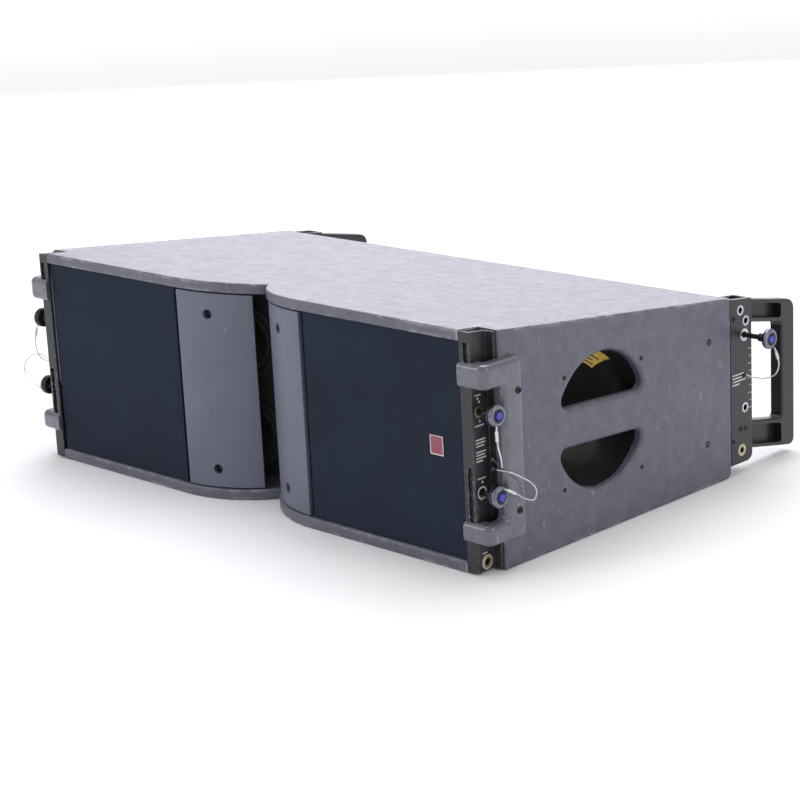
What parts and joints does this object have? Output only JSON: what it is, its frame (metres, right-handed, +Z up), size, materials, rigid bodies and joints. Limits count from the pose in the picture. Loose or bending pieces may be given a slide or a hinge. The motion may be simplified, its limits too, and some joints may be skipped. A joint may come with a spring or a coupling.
{
  "type": "line array speaker",
  "caption": "Wedge-shaped loudspeaker element for hung line arrays: two grilled woofer lobes, curved louvers round a centre slot, side grips, and rigging rails with quick-release pins.",
  "frame": {"origin": "on the floor under the middle of the object's box, lanyards left out", "axes": "+Z up, front towards -Y, +X towards the flank that is on the right for a listener in front"},
  "size_m": [1.1588, 0.755, 0.356],
  "materials": {
    "textured_paint": "grey-brown textured paint on birch plywood, scuffed, worn to pale wood and primer at the edges",
    "bare_plywood": "sealed birch plywood, inside the cabinet",
    "grille_coat": "fine perforated steel, dark blue-black powder coat over acoustic cloth",
    "louver_grey": "satin blue-grey moulded louver",
    "black_steel": "black powder-coated steel, chipped at the edges",
    "zinc_steel": "bright zinc-plated steel, handled",
    "grey_casting": "dark grey painted casting, edges polished by handling",
    "blue_button": "blue moulded push button",
    "moulded_black": "black moulded plastic, fine grain",
    "cast_frame": "black-painted cast driver frame and magnet",
    "driver_black": "black driver frame, magnet and treated cone in one",
    "paper_cone": "treated paper cone with cloth surround",
    "lanyard_wire": "stainless wire rope, 2.4 mm, clear sleeve",
    "badge_red": "plain red and silver tile badge"
  },
  "bodies": {
    "cabinet": {"bottom_panel": "textured_paint", "top_panel": "textured_paint", "rear_panel": "textured_paint", "right_side_panel": "textured_paint", "right_handle_cup": "moulded_black", "right_woofer_baffle": "bare_plywood", "right_woofer_frame": "cast_frame", "right_woofer_cone": "paper_cone", "right_mid_chamber_wall": "bare_plywood", "right_lower_mid_driver": "driver_black", "right_upper_mid_driver": "driver_black", "right_grille": "grille_coat", "right_front_rail": "black_steel", "right_corner_guard": "grey_casting", "right_rear_rail": "black_steel", "right_rear_handle": "moulded_black", "left_side_panel": "textured_paint", "left_handle_cup": "moulded_black", "left_woofer_baffle": "bare_plywood", "left_woofer_frame": "cast_frame", "left_woofer_cone": "paper_cone", "left_mid_chamber_wall": "bare_plywood", "left_lower_mid_driver": "driver_black", "left_upper_mid_driver": "driver_black", "left_grille": "grille_coat", "left_front_rail": "black_steel", "left_corner_guard": "grey_casting", "left_rear_rail": "black_steel", "left_rear_handle": "moulded_black", "connector_plate": "black_steel", "input_connector": "moulded_black", "link_connector": "moulded_black", "lower_waveguide": "moulded_black", "upper_waveguide": "moulded_black", "lower_compression_driver": "cast_frame", "upper_compression_driver": "cast_frame"},
    "right_louver_blade": {"right_louver": "louver_grey"},
    "right_link_bar": {"right_front_link": "zinc_steel"},
    "right_angle_bar": {"right_rear_angle_bar": "zinc_steel"},
    "right_upper_pin": {"right_upper_front_pin": "zinc_steel", "right_upper_front_lanyard": "lanyard_wire"},
    "right_upper_pin_push": {"right_upper_front_pin_button": "blue_button"},
    "right_lower_pin": {"right_lower_front_pin": "zinc_steel", "right_lower_front_lanyard": "lanyard_wire"},
    "right_lower_pin_push": {"right_lower_front_pin_button": "blue_button"},
    "right_back_pin": {"right_rear_pin": "zinc_steel", "right_rear_lanyard": "lanyard_wire"},
    "right_back_pin_push": {"right_rear_pin_button": "blue_button"},
    "left_louver_blade": {"left_louver": "louver_grey"},
    "left_link_bar": {"left_front_link": "zinc_steel"},
    "left_angle_bar": {"left_rear_angle_bar": "zinc_steel"},
    "left_upper_pin": {"left_upper_front_pin": "zinc_steel", "left_upper_front_lanyard": "lanyard_wire"},
    "left_upper_pin_push": {"left_upper_front_pin_button": "blue_button"},
    "left_lower_pin": {"left_lower_front_pin": "zinc_steel", "left_lower_front_lanyard": "lanyard_wire"},
    "left_lower_pin_push": {"left_lower_front_pin_button": "blue_button"},
    "left_back_pin": {"left_rear_pin": "zinc_steel", "left_rear_lanyard": "lanyard_wire"},
    "left_back_pin_push": {"left_rear_pin_button": "blue_button"}
  },
  "joints": [
    {"name": "right_louver_turn", "type": "hinge", "parent": "cabinet", "child": "right_louver_blade", "pos_m": [0.143, -0.1935, 0.17], "axis": [0, 0, -1], "range_deg": [0, 6]},
    {"name": "right_front_link_lift", "type": "slide", "parent": "cabinet", "child": "right_link_bar", "axis": [0, 0, 1], "range_m": [0, 0.09]},
    {"name": "right_rear_bar_lift", "type": "slide", "parent": "cabinet", "child": "right_angle_bar", "axis": [0, 0, 1], "range_m": [0, 0.08]},
    {"name": "right_upper_pin_pull", "type": "slide", "parent": "cabinet", "child": "right_upper_pin", "axis": [1, 0, 0], "range_m": [0, 0.045]},
    {"name": "right_upper_pin_button", "type": "slide", "parent": "right_upper_pin", "child": "right_upper_pin_push", "axis": [-1, 0, 0], "range_m": [0, 0.003], "stiffness_N_per_m": 400, "springref_m": -0.002},
    {"name": "right_lower_pin_pull", "type": "slide", "parent": "cabinet", "child": "right_lower_pin", "axis": [1, 0, 0], "range_m": [0, 0.045]},
    {"name": "right_lower_pin_button", "type": "slide", "parent": "right_lower_pin", "child": "right_lower_pin_push", "axis": [-1, 0, 0], "range_m": [0, 0.003], "stiffness_N_per_m": 400, "springref_m": -0.002},
    {"name": "right_back_pin_pull", "type": "slide", "parent": "cabinet", "child": "right_back_pin", "axis": [1, 0, 0], "range_m": [0, 0.045]},
    {"name": "right_back_pin_button", "type": "slide", "parent": "right_back_pin", "child": "right_back_pin_push", "axis": [-1, 0, 0], "range_m": [0, 0.003], "stiffness_N_per_m": 400, "springref_m": -0.002},
    {"name": "left_louver_turn", "type": "hinge", "parent": "cabinet", "child": "left_louver_blade", "pos_m": [-0.143, -0.1935, 0.17], "axis": [0, 0, 1], "range_deg": [0, 6]},
    {"name": "left_front_link_lift", "type": "slide", "parent": "cabinet", "child": "left_link_bar", "axis": [0, 0, 1], "range_m": [0, 0.09]},
    {"name": "left_rear_bar_lift", "type": "slide", "parent": "cabinet", "child": "left_angle_bar", "axis": [0, 0, 1], "range_m": [0, 0.08]},
    {"name": "left_upper_pin_pull", "type": "slide", "parent": "cabinet", "child": "left_upper_pin", "axis": [-1, 0, 0], "range_m": [0, 0.045]},
    {"name": "left_upper_pin_button", "type": "slide", "parent": "left_upper_pin", "child": "left_upper_pin_push", "axis": [1, 0, 0], "range_m": [0, 0.003], "stiffness_N_per_m": 400, "springref_m": -0.002},
    {"name": "left_lower_pin_pull", "type": "slide", "parent": "cabinet", "child": "left_lower_pin", "axis": [-1, 0, 0], "range_m": [0, 0.045]},
    {"name": "left_lower_pin_button", "type": "slide", "parent": "left_lower_pin", "child": "left_lower_pin_push", "axis": [1, 0, 0], "range_m": [0, 0.003], "stiffness_N_per_m": 400, "springref_m": -0.002},
    {"name": "left_back_pin_pull", "type": "slide", "parent": "cabinet", "child": "left_back_pin", "axis": [-1, 0, 0], "range_m": [0, 0.045]},
    {"name": "left_back_pin_button", "type": "slide", "parent": "left_back_pin", "child": "left_back_pin_push", "axis": [1, 0, 0], "range_m": [0, 0.003], "stiffness_N_per_m": 400, "springref_m": -0.002}
  ]
}
